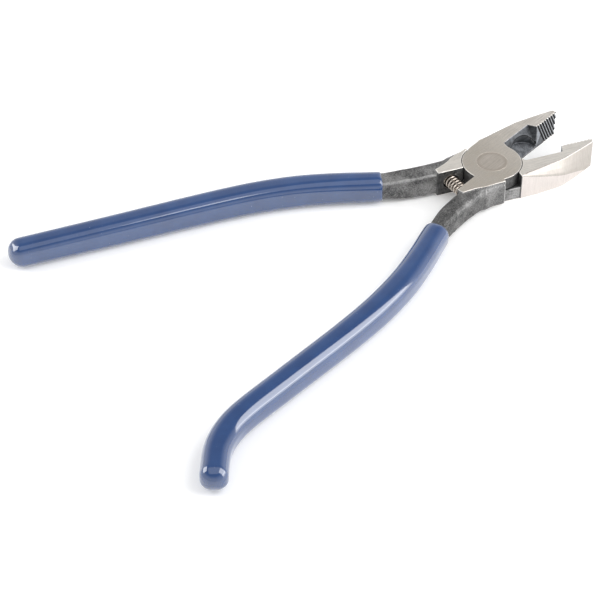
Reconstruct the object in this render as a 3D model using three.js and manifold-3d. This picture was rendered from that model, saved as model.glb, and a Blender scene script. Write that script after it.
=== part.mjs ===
// Ironworker's pliers: a lap joint on a flush rivet, toothed jaws with a knife behind them, a coil
// spring between the handle roots and two dipped handles, one of them with a hook bend.
// Millimetres, +Z up. The pliers lie on z = 0 with the rivet's axis on the origin and the jaws
// towards +X, open as far as the spring and the stops let them.
//
// Each half is drawn in its own half frame: x runs along its closing line from the rivet to the
// jaw tip, +y is the side its jaw is on, and its handle runs back on the -y side. The hook half
// has the upper of the two lapped discs; the straight half is drawn the same way, mirrored in y,
// with the lower disc.

import * as THREE from 'three';
import { mergeVertices } from 'three/addons/utils/BufferGeometryUtils.js';
import Module from 'manifold-3d';

const wasm = await Module();
wasm.setup();

// ---- driving dimensions -----------------------------------------------------------------------

const HALF_OPEN = THREE.MathUtils.degToRad(14.2);  // each closing line, from the middle line
const HEAD_THICKNESS = 11;
const FIT_GAP = 0.3;                 // between pieces that bear on each other
const CLOSING_GAP = 0.1;             // each jaw face to the closing line
const HANDLE_GAP = 0.4;              // each handle's inner edge to the closing line

const DISC_RADIUS = 11.5;            // the lapped discs of the joint
const SHOULDER_RADIUS = DISC_RADIUS + FIT_GAP;
const SHOULDER = { x: 7, y: 12.3 };  // back corner of the jaw's outer side
const STOP_X = 0.3;                  // where the lapped layer's stop lug ends
const STOP_LUG_Y = 11.9;             // outer side of the stop lug's end

const JAW_LENGTH = 42.4;             // rivet to tip
const JAW_TIP_WIDTH = 2.0;
const JAW_FACET_DEPTH = 5.3;         // depth of the outer facet where the side turns to the tip
const JAW_TURN_X = 26.5;             // where the outer side turns towards the tip

const FACET_STEP = 3.2;              // spacing of the facet's sections along the jaw
const FACET_BELLY = { out: 0.6, down: 0.54 };  // share of the way out, and of the way down

const ROOT_STEP = 0.7;               // forged root surface below the ground head faces
// The handle's root in plan: the ground tail, and the wider forged body under it.
const TAIL = [
  [-4, -HANDLE_GAP], [-22.3, -HANDLE_GAP - 0.1], [-22.3, -3.3], [-17.7, -5.3], [-12.8, -8],
  [-6.2, -11.4], [-5.6, -10.35], [-4, -8],
];
const FORGED_ROOT = [
  [-4, -HANDLE_GAP], [-15, -HANDLE_GAP - 0.3], [-15, -8.8], [-13, -9.4], [-6.8, -12.1],
  [-5.6, -10.35], [-4, -8],
];

// The notch behind the teeth, in plan, with its corners cut off at both ends.
const NOTCH_PLAN = [[11.6, -1], [11.6, 1.3], [12.7, 4], [28.2, 3.7], [29.5, 0.4], [29.65, -1]];
const NOTCH_DEPTH = 3.7;             // at the upper face
const NOTCH_FLOOR = 1.6;             // where its sloping back meets the closing face
const KNIFE_EDGE_Z = 0.8;            // cutting edge above the lower face
const KNIFE_SLOPE = THREE.MathUtils.degToRad(30);
const KNIFE_RADIUS = 9.7;            // the round pocket that leaves the knife
const KNIFE_CENTRE = { x: 20.8, back: 3.2 };  // back: how far its centre lies behind the edge

const TOOTH_COUNT = 9;
const TOOTH_START = 30.0;            // first groove, at the upper face
const TOOTH_PITCH = 1.46;            // along the jaw
const TOOTH_WIDTH = 0.9;
const TOOTH_DEPTH = 0.55;
const TOOTH_LEAN = THREE.MathUtils.degToRad(28);

const RIVET = { shank: 4.4, head: 6.0, headDepth: 1.8, land: 0.5 };

const SPRING = { x: -16, outer: 5.3, wire: 0.75, turns: 9, end: 7.2 };  // end: half its length
const SOCKET = { diameter: 6.2, end: SPRING.end + FIT_GAP };

const GRIP_WALL = 1.15;
const GRIP_START = -43;              // half-frame x of the open end of each grip
const GRIP_END_ROUND = 4.5;          // length of the rounded closed end
const GRIP_END_SOLID = 3.4;          // grip material beyond the end of the steel
const STEEL_CORNER = 1.9;            // corner radius of the handle's section
const GRIP_CORNER = { straight: 3.3, hook: 3.7 };

// The handle's centreline and its section, from the root to the end of the grip.
const HANDLE_ROOT = [
  { x: -8, y: -5.6, width: 8.8, thickness: 9.8 },
  { x: -15, y: -4.8, width: 8.4, thickness: 9.9 },
  { x: -24, y: -4.6, width: 7.9, thickness: 9.9 },
  { x: -34, y: -5.3, width: 7.9, thickness: 9.6 },
  { x: -42, y: -6.9, width: 7.6, thickness: 8.1 },
  { x: -49, y: -8.9, width: 7.6, thickness: 8.1 },
  { x: -57, y: -11.4, width: 7.7, thickness: 8.1 },
  { x: -72, y: -15.2, width: 7.7, thickness: 8.1 },
  { x: -88, y: -17.4, width: 7.6, thickness: 8.1 },
  { x: -105, y: -18.1, width: 7.5, thickness: 8.0 },
];
const STRAIGHT_END = [
  { x: -150, y: -17.8, width: 7.2, thickness: 7.6 },
  { x: -187.2, y: -17.8, width: 7.2, thickness: 6.9 },
];
const HOOK_END = [
  { x: -140, y: -17.6, width: 7.3, thickness: 7.7 },
  { x: -163, y: -17.4, width: 7.3, thickness: 7.3 },
  { x: -171, y: -18.6, width: 7.2, thickness: 7.1 },
  { x: -179, y: -21.7, width: 7.1, thickness: 6.9 },
  { x: -186.8, y: -27.3, width: 7.0, thickness: 6.8 },
  { x: -192.5, y: -32.0, width: 7.0, thickness: 6.8 },
];

const steel = new THREE.MeshStandardMaterial({ color: 0xa8a29b, metalness: 0.9, roughness: 0.4 });
const darkSteel = new THREE.MeshStandardMaterial({ color: 0x8b8884, metalness: 0.9, roughness: 0.5 });
const rivetSteel = new THREE.MeshStandardMaterial({ color: 0xb2aca4, metalness: 0.9, roughness: 0.35 });
const springSteel = new THREE.MeshStandardMaterial({ color: 0xb3a89c, metalness: 1, roughness: 0.3 });
const bluePlastic = new THREE.MeshStandardMaterial({ color: 0x2c4a8a, metalness: 0, roughness: 0.25 });

// ---- solids and meshes ------------------------------------------------------------------------

// A closed geometry as a solid that can be joined and cut.
function solid(geometry) {
  geometry.deleteAttribute('normal');
  geometry.deleteAttribute('uv');
  const merged = mergeVertices(geometry, 1e-4);
  return new wasm.Manifold(new wasm.Mesh({
    numProp: 3,
    vertProperties: new Float32Array(merged.attributes.position.array),
    triVerts: new Uint32Array(merged.index.array),
  }));
}

// A solid as a named mesh, mirrored in y for the straight half.
function meshOf(name, body, material, mirrored = false) {
  const { vertProperties, triVerts } = body.getMesh();
  const positions = Float32Array.from(vertProperties);
  const triangles = Array.from(triVerts);
  if (mirrored) {
    for (let i = 1; i < positions.length; i += 3) positions[i] = -positions[i];
    triangles.reverse();
  }
  const geometry = new THREE.BufferGeometry();
  geometry.setAttribute('position', new THREE.BufferAttribute(positions, 3));
  geometry.setIndex(triangles);
  geometry.computeVertexNormals();
  const mesh = new THREE.Mesh(geometry, material);
  mesh.name = name;
  return mesh;
}

// An outline in plan, [x, y] points, standing from one height to another.
function slab(outline, bottom, top) {
  const shape = new THREE.Shape(outline.map(([x, y]) => new THREE.Vector2(x, y)));
  const geometry = new THREE.ExtrudeGeometry(shape, { depth: top - bottom, bevelEnabled: false });
  return solid(geometry.translate(0, 0, bottom));
}

// An outline across the jaw, [y, z] points, running along x.
function bar(outline, start, end) {
  const shape = new THREE.Shape(outline.map(([y, z]) => new THREE.Vector2(y, z)));
  const geometry = new THREE.ExtrudeGeometry(shape, { depth: end - start, bevelEnabled: false });
  geometry.applyMatrix4(new THREE.Matrix4().makeBasis(
    new THREE.Vector3(0, 1, 0), new THREE.Vector3(0, 0, 1), new THREE.Vector3(1, 0, 0)));
  return solid(geometry.translate(start, 0, 0));
}

// An upright round bar on the rivet's axis.
function post(radius, bottom, top, sides = 64) {
  const geometry = new THREE.CylinderGeometry(radius, radius, top - bottom, sides);
  return solid(geometry.rotateX(Math.PI / 2).translate(0, 0, (bottom + top) / 2));
}

// A solid skin over rings of points, each ring convex and all of the same length.
function loft(rings) {
  const size = rings[0].length;
  const positions = rings.flat().flatMap((p) => [p.x, p.y, p.z]);
  const faces = [];
  for (let r = 0; r + 1 < rings.length; r += 1) {
    for (let i = 0; i < size; i += 1) {
      const a = r * size + i;
      const b = r * size + (i + 1) % size;
      faces.push(a, b, b + size, a, b + size, a + size);
    }
  }
  const last = (rings.length - 1) * size;
  for (let i = 1; i + 1 < size; i += 1) {
    faces.push(0, i + 1, i, last, last + i, last + i + 1);
  }
  const geometry = new THREE.BufferGeometry();
  geometry.setAttribute('position', new THREE.Float32BufferAttribute(positions, 3));
  geometry.setIndex(faces);
  return solid(geometry);
}

// ---- handle -----------------------------------------------------------------------------------

// The centreline of a handle as a curve, and its section at a place along it.
function handleLine(stations) {
  const curve = new THREE.CatmullRomCurve3(
    stations.map(({ x, y }) => new THREE.Vector3(x, y, HEAD_THICKNESS / 2)), false, 'centripetal');
  curve.arcLengthDivisions = 400;
  return { curve, stations, length: curve.getLength() };
}

function sectionAt(stations, x) {
  const last = stations.length - 2;
  const found = stations.findIndex((station, i) => i <= last && x >= stations[i + 1].x);
  const i = found < 0 ? last : found;
  const [a, b] = [stations[i], stations[i + 1]];
  const share = THREE.MathUtils.clamp((x - a.x) / (b.x - a.x), 0, 1);
  return {
    width: THREE.MathUtils.lerp(a.width, b.width, share),
    thickness: THREE.MathUtils.lerp(a.thickness, b.thickness, share),
  };
}

// A rounded rectangle across the handle, grown outwards by `grow` and shrunk by `scale`.
function handleRing(line, distance, grow, corner, cornerPoints, scale = 1) {
  const centre = line.curve.getPointAt(distance / line.length);
  const along = line.curve.getTangentAt(distance / line.length);
  const across = new THREE.Vector3(-along.y, along.x, 0);
  const { width, thickness } = sectionAt(line.stations, centre.x);
  const halfWidth = width / 2 + grow;
  const halfHeight = thickness / 2 + grow;
  const ring = [];
  for (let quarter = 0; quarter < 4; quarter += 1) {
    const sideways = quarter === 0 || quarter === 3 ? 1 : -1;
    const upwards = quarter < 2 ? 1 : -1;
    for (let i = 0; i < cornerPoints; i += 1) {
      const turn = (quarter + i / (cornerPoints - 1)) * Math.PI / 2;
      const offset = sideways * (halfWidth - corner) + corner * Math.cos(turn);
      const height = upwards * (halfHeight - corner) + corner * Math.sin(turn);
      ring.push(centre.clone()
        .addScaledVector(across, offset * scale)
        .add(new THREE.Vector3(0, 0, height * scale)));
    }
  }
  return ring;
}

function distancesBetween(start, end, step) {
  const count = Math.ceil((end - start) / step);
  return Array.from({ length: count + 1 }, (_, i) => start + (end - start) * i / count);
}

function distanceAtX(line, x) {
  let low = 0;
  let high = line.length;
  for (let i = 0; i < 40; i += 1) {
    const middle = (low + high) / 2;
    if (line.curve.getPointAt(middle / line.length).x > x) low = middle;
    else high = middle;
  }
  return low;
}

const STEEL_CORNER_POINTS = 3;
const GRIP_CORNER_POINTS = 4;
const STEEL_STEP = 8;
const GRIP_STEP = 7;

function handleSteel(line) {
  return loft(distancesBetween(0, line.length - GRIP_END_SOLID, STEEL_STEP)
    .map((d) => handleRing(line, d, 0, STEEL_CORNER, STEEL_CORNER_POINTS)));
}

// A dipped sleeve: rounded lip, even wall, round closed end, hollow for the steel.
function grip(line, corner) {
  const start = distanceAtX(line, GRIP_START);
  const outer = GRIP_WALL + FIT_GAP;
  const roundFrom = line.length - GRIP_END_ROUND;
  const lip = [[0, 0.55], [0.35, 0.15]].map(([along, inset]) =>
    handleRing(line, start + along, outer - inset, corner - inset, GRIP_CORNER_POINTS));
  const body = distancesBetween(start + 0.9, roundFrom, GRIP_STEP)
    .map((d) => handleRing(line, d, outer, corner, GRIP_CORNER_POINTS));
  const roundedEnd = [22, 42, 60, 76, 86].map((degrees) => {
    const turn = THREE.MathUtils.degToRad(degrees);
    return handleRing(line, roundFrom + GRIP_END_ROUND * Math.sin(turn), outer, corner,
      GRIP_CORNER_POINTS, Math.cos(turn));
  });
  const hollow = loft(distancesBetween(start - 1, line.length - GRIP_END_SOLID + FIT_GAP, STEEL_STEP)
    .map((d) => handleRing(line, d, FIT_GAP, STEEL_CORNER + FIT_GAP, STEEL_CORNER_POINTS)));
  return loft([...lip, ...body, ...roundedEnd]).subtract(hollow);
}

// ---- head -------------------------------------------------------------------------------------

const MIDDLE = HEAD_THICKNESS / 2;

// The layer of the head that a half's own disc fills, and the layer it leaves to the other half.
const UPPER = { own: [MIDDLE + FIT_GAP / 2, HEAD_THICKNESS], other: [-1, MIDDLE + FIT_GAP / 2] };
const LOWER = { own: [0, MIDDLE - FIT_GAP / 2], other: [MIDDLE - FIT_GAP / 2, HEAD_THICKNESS + 1] };

// The outer side of the jaw in plan: nearly straight to the turn, then in to the tip.
const JAW_SIDE = [
  [SHOULDER.x, SHOULDER.y], [14.9, 12.1], [23.4, 11.3], [JAW_TURN_X, 10.6], [33.5, 7.5], [38, 5.3],
  [41.6, 3.3], [JAW_LENGTH, JAW_TIP_WIDTH],
];
// The outer edge of the jaw's upper face, inside the facet.
const JAW_TOP_EDGE = [
  [SHOULDER.x, SHOULDER.y], [10, 11.3], [15.5, 10.4], [20.7, 9.35], [26.6, 8.1], [33, 5.8],
  [38, 3.9], [JAW_LENGTH, JAW_TIP_WIDTH],
];

function jawBlank() {
  return slab([[SHOULDER.x, CLOSING_GAP], [JAW_LENGTH, CLOSING_GAP], ...[...JAW_SIDE].reverse()],
    0, HEAD_THICKNESS);
}

// What the outer facet takes off: from the upper face's edge over a slight belly down to the side,
// deeper at each step towards the tip.
function facetCutter() {
  const slope = JAW_FACET_DEPTH / (JAW_TURN_X - SHOULDER.x);
  const above = HEAD_THICKNESS + 1;
  const clear = 3;
  const start = SHOULDER.y + 0.15;   // the first section is just outside the jaw
  const ends = [{ x: SHOULDER.x - 0.5, top: start, side: start, depth: 0.05 }];
  for (let x = SHOULDER.x + FACET_STEP; x < JAW_LENGTH + FACET_STEP; x += FACET_STEP) {
    ends.push({
      x, top: sideAt(JAW_TOP_EDGE, x), side: sideAt(JAW_SIDE, x), depth: slope * (x - SHOULDER.x),
    });
  }
  return loft(ends.map(({ x, top, side, depth }) => [
    new THREE.Vector3(x, side + clear, above),
    new THREE.Vector3(x, top, above),
    new THREE.Vector3(x, top, HEAD_THICKNESS),
    new THREE.Vector3(x, THREE.MathUtils.lerp(top, side, FACET_BELLY.out),
      HEAD_THICKNESS - depth * FACET_BELLY.down),
    new THREE.Vector3(x, side, HEAD_THICKNESS - depth),
    new THREE.Vector3(x, side + clear, HEAD_THICKNESS - depth),
  ]));
}

// The y of an outline of [x, y] points at x.
function sideAt(outline, x) {
  const i = Math.min(outline.findIndex(([px]) => px >= x), outline.length - 1);
  const [a, b] = i > 0 ? [outline[i - 1], outline[i]] : outline.slice(-2);
  return THREE.MathUtils.lerp(a[1], b[1], THREE.MathUtils.clamp((x - a[0]) / (b[0] - a[0]), 0, 1));
}

// The sloping notch behind the teeth, open to the closing face and to the upper face.
function notchCutter() {
  const below = NOTCH_FLOOR - 1;
  const above = HEAD_THICKNESS + 1;
  const rise = NOTCH_DEPTH / (HEAD_THICKNESS - NOTCH_FLOOR);
  const back = bar([[-rise, below], [NOTCH_DEPTH + rise, above], [-2, above], [-2, below]],
    0, JAW_LENGTH);
  return slab(NOTCH_PLAN, NOTCH_FLOOR, above).intersect(back);
}

// The round pocket inside the notch: its flat floor is the upper side of the knife.
function knifeCutter() {
  const depth = 14;
  const geometry = new THREE.CylinderGeometry(KNIFE_RADIUS, KNIFE_RADIUS, depth, 48);
  geometry.rotateX(Math.PI / 2).translate(0, 0, depth / 2).rotateX(KNIFE_SLOPE);
  return solid(geometry.translate(KNIFE_CENTRE.x,
    CLOSING_GAP - KNIFE_CENTRE.back * Math.cos(KNIFE_SLOPE),
    KNIFE_EDGE_Z - KNIFE_CENTRE.back * Math.sin(KNIFE_SLOPE)));
}

// One groove between teeth: a V that leans towards the tip as it goes down the closing face.
function toothCutter(index) {
  const above = 2;
  const length = HEAD_THICKNESS / Math.cos(TOOTH_LEAN) + 2 * above;
  const mouth = TOOTH_WIDTH / 2;
  const shape = new THREE.Shape([
    new THREE.Vector2(-mouth, 0),
    new THREE.Vector2(mouth, 0),
    new THREE.Vector2(0, CLOSING_GAP + TOOTH_DEPTH),
  ]);
  const geometry = new THREE.ExtrudeGeometry(shape, { depth: length, bevelEnabled: false });
  geometry.translate(0, 0, above - length).rotateY(-TOOTH_LEAN);
  return solid(geometry.translate(TOOTH_START + index * TOOTH_PITCH, 0, HEAD_THICKNESS));
}

// The stop lug: the own layer runs on straight from the shoulder and meets the other handle.
function stopLug(layer) {
  const inside = 5;
  const into = SHOULDER.x + 1;       // it runs on inside the jaw
  return slab([[into, inside], [into, SHOULDER.y - FIT_GAP], [STOP_X, STOP_LUG_Y],
    [STOP_X, inside]], ...layer.own);
}

// The root of the handle: a full-height tail, ground level with the head, on a wider forged root.
function handleRoot() {
  return slab(TAIL, 0, HEAD_THICKNESS)
    .add(slab(FORGED_ROOT, ROOT_STEP, HEAD_THICKNESS - ROOT_STEP));
}

// The blind hole in the handle root that the spring sits in, along the spring.
function springSocket() {
  const start = 2;
  const geometry = new THREE.CylinderGeometry(
    SOCKET.diameter / 2, SOCKET.diameter / 2, SOCKET.end - start, 32);
  geometry.translate(SPRING.x, -(SOCKET.end + start) / 2, MIDDLE).rotateZ(-HALF_OPEN);
  return solid(geometry);
}

// A round profile of [radius, height] points, turned about the rivet's axis.
function turned(profile) {
  const geometry = new THREE.LatheGeometry(profile.map(([r, h]) => new THREE.Vector2(r, h)), 48);
  return solid(geometry.rotateX(Math.PI / 2));
}

// The rivet, or with a gap the countersunk hole it runs in.
function rivetSolid(gap) {
  const over = gap > 0 ? 1 : 0;
  const shank = RIVET.shank + gap;
  const head = RIVET.head + gap;
  const top = HEAD_THICKNESS + over;
  return turned([[0, -over], [head, -over], [head, RIVET.land], [shank, RIVET.headDepth],
    [shank, HEAD_THICKNESS - RIVET.headDepth], [head, HEAD_THICKNESS - RIVET.land], [head, top],
    [0, top]]);
}

// One forged half in its half frame: jaw, lapped disc, stop lug, handle root and handle.
function forgedHalf(layer, line) {
  const handle = handleRoot().add(handleSteel(line));
  let half = jawBlank().add(handle)
    .subtract(post(SHOULDER_RADIUS, ...layer.other))
    .add(post(DISC_RADIUS, ...layer.own))
    .add(stopLug(layer))
    .subtract(rivetSolid(FIT_GAP))
    .subtract(facetCutter())
    .subtract(notchCutter())
    .subtract(knifeCutter())
    .subtract(springSocket());
  for (let i = 0; i < TOOTH_COUNT; i += 1) half = half.subtract(toothCutter(i));
  return half;
}

// ---- spring -----------------------------------------------------------------------------------

class Helix extends THREE.Curve {
  getPoint(share, target = new THREE.Vector3()) {
    const radius = (SPRING.outer - SPRING.wire) / 2;
    const reach = SPRING.end - SPRING.wire / 2;
    const turn = share * SPRING.turns * 2 * Math.PI;
    return target.set(SPRING.x + radius * Math.cos(turn), (2 * share - 1) * reach,
      MIDDLE + radius * Math.sin(turn));
  }
}

function handleSpring() {
  const sides = 6;
  const stepsPerTurn = 14;
  const wire = new THREE.Shape();
  wire.absarc(0, 0, SPRING.wire / 2, 0, 2 * Math.PI);
  const geometry = new THREE.ExtrudeGeometry(wire, {
    curveSegments: sides,
    steps: Math.round(SPRING.turns * stepsPerTurn),
    extrudePath: new Helix(),
  });
  return solid(geometry);
}

// ---- the pliers -------------------------------------------------------------------------------

function halfGroup(turn, meshes) {
  const half = new THREE.Group();
  half.rotation.z = turn;
  half.add(...meshes);
  return half;
}

const hookLine = handleLine([...HANDLE_ROOT, ...HOOK_END]);
const straightLine = handleLine([...HANDLE_ROOT, ...STRAIGHT_END]);

const pliers = new THREE.Group();
pliers.add(
  halfGroup(HALF_OPEN, [
    meshOf('hook_half', forgedHalf(UPPER, hookLine), steel),
    meshOf('hook_grip', grip(hookLine, GRIP_CORNER.hook), bluePlastic),
  ]),
  halfGroup(-HALF_OPEN, [
    meshOf('straight_half', forgedHalf(LOWER, straightLine), darkSteel, true),
    meshOf('straight_grip', grip(straightLine, GRIP_CORNER.straight), bluePlastic, true),
  ]),
  meshOf('pivot_rivet', rivetSolid(0), rivetSteel),
  meshOf('handle_spring', handleSpring(), springSteel),
);

export default pliers;
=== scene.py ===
"""Looks of the ironworker's pliers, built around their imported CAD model.

Shapes are worked out in millimetres in each half's own frame: x runs along the closing line from
the rivet to the jaw tip, +y is the side the jaw is on, the handle runs back on the -y side, and z
is up. The hook half has the upper lapped disc. The straight half is the same, mirrored in y, with
the lower disc. to_tool() turns points from a half's frame to the object's frame, in metres.
"""

import math
from dataclasses import dataclass

import bpy
import numpy as np
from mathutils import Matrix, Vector


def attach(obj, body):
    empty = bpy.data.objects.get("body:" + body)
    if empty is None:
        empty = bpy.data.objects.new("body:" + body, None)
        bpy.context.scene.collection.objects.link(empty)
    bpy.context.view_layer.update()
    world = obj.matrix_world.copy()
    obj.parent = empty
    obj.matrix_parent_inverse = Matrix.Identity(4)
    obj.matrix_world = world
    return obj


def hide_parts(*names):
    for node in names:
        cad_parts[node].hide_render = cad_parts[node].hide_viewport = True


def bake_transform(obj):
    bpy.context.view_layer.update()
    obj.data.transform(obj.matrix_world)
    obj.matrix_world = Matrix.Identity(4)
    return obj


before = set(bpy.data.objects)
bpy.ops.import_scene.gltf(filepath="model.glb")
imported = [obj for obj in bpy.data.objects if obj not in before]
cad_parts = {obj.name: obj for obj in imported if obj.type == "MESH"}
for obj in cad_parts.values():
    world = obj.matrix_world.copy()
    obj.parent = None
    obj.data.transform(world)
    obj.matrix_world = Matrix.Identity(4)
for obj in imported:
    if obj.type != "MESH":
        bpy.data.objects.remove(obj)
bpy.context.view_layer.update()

# ---- dimensions, as in the CAD model ------------------------------------------------------------

HALF_OPEN = math.radians(14.2)
HEAD_THICKNESS = 11.0
MIDDLE = HEAD_THICKNESS / 2
FIT_GAP = 0.3
CLOSING_GAP = 0.1                    # each jaw face to the closing line
HANDLE_GAP = 0.4                     # each handle's inner edge to the closing line

DISC_RADIUS = 11.5
SHOULDER_RADIUS = DISC_RADIUS + FIT_GAP
SHOULDER = (7, 12.3)                 # back corner of the jaw's outer side
STOP_X = 0.3                         # where the lapped layer's stop lug ends

JAW_LENGTH = 42.4                    # rivet to tip
JAW_TURN = (26.5, 10.6)              # where the outer side turns towards the tip
JAW_TIP = (JAW_LENGTH, 2.0)
JAW_SIDE = [SHOULDER, (14.9, 12.1), (23.4, 11.3), JAW_TURN, (33.5, 7.5), (38, 5.3), (41.6, 3.3),
            JAW_TIP]
JAW_TOP_EDGE = [SHOULDER, (10, 11.3), (15.5, 10.4), (20.7, 9.35), (26.6, 8.1), (33, 5.8), (38, 3.9),
                JAW_TIP]
JAW_FACET_DEPTH = 5.3                # depth of the outer facet at the turn
FACET_SLOPE = JAW_FACET_DEPTH / (JAW_TURN[0] - SHOULDER[0])
FACET_BELLY = (0.6, 0.54)            # share of the way out, and of the way down

NOTCH_PLAN = [(11.6, -1), (11.6, 1.3), (12.7, 4), (28.2, 3.7), (29.5, 0.4), (29.65, -1)]
NOTCH_DEPTH = 3.7                    # at the upper face
NOTCH_FLOOR = 1.6                    # where its sloping back meets the closing face
KNIFE_SLOPE = math.radians(30)
KNIFE_RADIUS = 9.7                   # the round pocket that leaves the knife
KNIFE_X = 20.8
KNIFE_BACK = 3.2                     # how far its centre lies behind the edge
KNIFE_EDGE_Z = 0.8                   # cutting edge above the lower face

TOOTH_COUNT = 9
TOOTH_START = 30.0
TOOTH_PITCH = 1.46
TOOTH_WIDTH = 0.9
TOOTH_DEPTH = 0.55
TOOTH_LEAN = math.radians(28)

ROOT_STEP = 0.7                      # forged root surface below the ground head faces
STOP_LUG = [(8, 5), (8, 12), (STOP_X, 11.9), (STOP_X, 5)]
# The handle's root in plan: the ground tail, and the wider forged body under it.
TAIL = [(-4, -HANDLE_GAP), (-22.3, -HANDLE_GAP - 0.1), (-22.3, -3.3), (-17.7, -5.3), (-12.8, -8),
        (-6.2, -11.4), (-5.6, -10.35), (-4, -8)]
FORGED_ROOT = [(-4, -HANDLE_GAP), (-15, -HANDLE_GAP - 0.3), (-15, -8.8), (-13, -9.4),
               (-6.8, -12.1), (-5.6, -10.35), (-4, -8)]

RIVET_HEAD = 6.0
RIVET_SHANK = 4.4
RIVET_LAND = 0.5
RIVET_HEAD_DEPTH = 1.8

SPRING_X = -16.0
SPRING_OUTER = 5.3
SPRING_WIRE = 0.75
SPRING_TURNS = 9
SPRING_END = 7.2                     # half its length
SOCKET_DIAMETER = 6.2
SOCKET_END = SPRING_END + FIT_GAP

GRIP_START = -43.0                   # x of the open end of each grip
GRIP_END_ROUND = 4.5                 # length of the rounded closed end, seen in plan
GRIP_END_SOLID = 3.4                 # grip beyond the end of the steel

# The handle's centreline with its section: x, y, width, thickness.
HANDLE_ROOT = [(-8, -5.6, 8.8, 9.8), (-15, -4.8, 8.4, 9.9), (-24, -4.6, 7.9, 9.9),
               (-34, -5.3, 7.9, 9.6), (-42, -6.9, 7.6, 8.1), (-49, -8.9, 7.6, 8.1),
               (-57, -11.4, 7.7, 8.1), (-72, -15.2, 7.7, 8.1), (-88, -17.4, 7.6, 8.1),
               (-105, -18.1, 7.5, 8.0)]
STRAIGHT_END = [(-150, -17.8, 7.2, 7.6), (-187.2, -17.8, 7.2, 6.9)]
HOOK_END = [(-140, -17.6, 7.3, 7.7), (-163, -17.4, 7.3, 7.3), (-171, -18.6, 7.2, 7.1),
            (-179, -21.7, 7.1, 6.9), (-186.8, -27.3, 7.0, 6.8), (-192.5, -32.0, 7.0, 6.8)]

# ---- dimensions and colours of the looks alone --------------------------------------------------

CELL = 0.22                          # size of the grid that the forged halves are drawn on
FIELD_LOW = (-47.0, -17.0, -0.6)     # the grid's corners in the half frame
FIELD_HIGH = (43.2, 13.6, 11.6)
GROUND_EDGE = 0.25                   # edge radius between ground faces
CUT_EDGE = 0.14                      # edge radius of the laps and cutters
TOOTH_EDGE = 0.12
FORGED_EDGE = 1.5                    # edge radius of the forged root
FORGED_FILLET = 2.2                  # between the root and the handle
TAIL_FILLET = 0.5                    # between the root and the ground tail
FORGED_WAVES = [(5.5, 0.10), (1.7, 0.035)]   # size and height of the forged unevenness
BEYOND = 3.0                         # how far a cut reaches past the head's faces
TANG_LAP = 1.5                       # how far the steel in a grip starts inside the forged half
RIVET_LAP = 0.1                      # the rivet's hole is drawn smaller by this, so no gap shows

GRIP_OUTER = 1.39                    # grip's outer face from the steel
GRIP_CROWN = 0.08                    # how far the middle of each grip face stands out
GRIP_END_SLOPE = 5.2                 # length of the rounded closed end, seen from the side
GRIP_END_INSET = 0.1                 # keeps the smooth end inside the faceted CAD one
GRIP_MOUTH = 35.0                    # length over which the section gets less round
GRIP_MOUTH_CORNER = 0.8              # and how much rounder it is at the open end

# Where the closing face is painted bright, in x and z: the teeth, and a corner of the notch's end.
# On the teeth it is partly rubbed metal, partly painted highlight; on the corner it is a painted
# highlight.
LANDS = [(29.2, 11.2), (29.9, 8.8), (30.2, 1.55), (32.4, 5.6), (35.6, -0.2), (43, -0.2), (43, 11.2)]

GROUND_ROUGHNESS = 0.46
DISC_STEEL = (0.62, 0.565, 0.49)     # the disc's ground face, a little browner than the jaws
SIDE_STEEL = (0.73, 0.68, 0.65)
FACET_STEEL = (0.53, 0.495, 0.46)


@dataclass
class Half:
    """What one half of the pliers has of its own."""
    name: str
    body: str
    side: int            # 1 as drawn, -1 mirrored
    own: tuple           # lower and upper face of its lapped disc
    stations: list
    corner: float        # corner radius of the bare handle
    grip_corner: float   # and of the grip
    steel: tuple         # colour of its ground faces, at the rivet and at the jaw tip
    skin: tuple          # dark and light grey of its forging skin


HOOK = Half("hook", "hook_side", 1, (MIDDLE + FIT_GAP / 2, HEAD_THICKNESS),
            HANDLE_ROOT + HOOK_END, 2.5, 3.7, (DISC_STEEL, (0.96, 0.91, 0.85)), (0.05, 0.15))
STRAIGHT = Half("straight", "straight_side", -1, (0.0, MIDDLE - FIT_GAP / 2),
                HANDLE_ROOT + STRAIGHT_END, 1.0, 3.3, ((0.97, 0.92, 0.85), (0.98, 0.94, 0.88)),
                (0.08, 0.19))


def to_tool(points, half):
    """Points of a half's frame, in millimetres, in the object's frame, in metres."""
    x, y, z = np.asarray(points, float).T
    y = y * half.side
    cos, sin = math.cos(half.side * HALF_OPEN), math.sin(half.side * HALF_OPEN)
    return np.column_stack([x * cos - y * sin, x * sin + y * cos, z]) / 1000


# ---- meshes -------------------------------------------------------------------------------------

def new_piece(name, points, faces, finishes, finish_of_face=None, edge=None, flip=False):
    """A mesh object at the origin from points in metres, shaded smooth."""
    if flip:
        faces = [face[::-1] for face in faces]
    mesh = bpy.data.meshes.new(name)
    mesh.from_pydata(np.asarray(points).tolist(), [], faces)
    mesh.polygons.foreach_set("use_smooth", np.ones(len(mesh.polygons), bool))
    for finish in finishes:
        mesh.materials.append(finish)
    if finish_of_face is not None:
        mesh.polygons.foreach_set("material_index", finish_of_face.astype(np.int32))
    if edge is not None:
        attribute = mesh.attributes.new("edge", "FLOAT", "POINT")
        attribute.data.foreach_set("value", edge.astype(np.float32))
    mesh.validate()
    piece = bpy.data.objects.new(name, mesh)
    bpy.context.scene.collection.objects.link(piece)
    return piece


def skin(rings):
    """Faces over rings of points, all of one length, closed at both ends."""
    count, size = len(rings), len(rings[0])
    i = np.arange(size)
    faces = []
    for r in range(count - 1):
        low, high = r * size, (r + 1) * size
        quads = np.column_stack([low + i, low + (i + 1) % size, high + (i + 1) % size, high + i])
        faces.extend(quads.tolist())
    faces.append(list(range(size))[::-1])
    faces.append(list(range((count - 1) * size, count * size)))
    return np.concatenate(rings), faces


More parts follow.
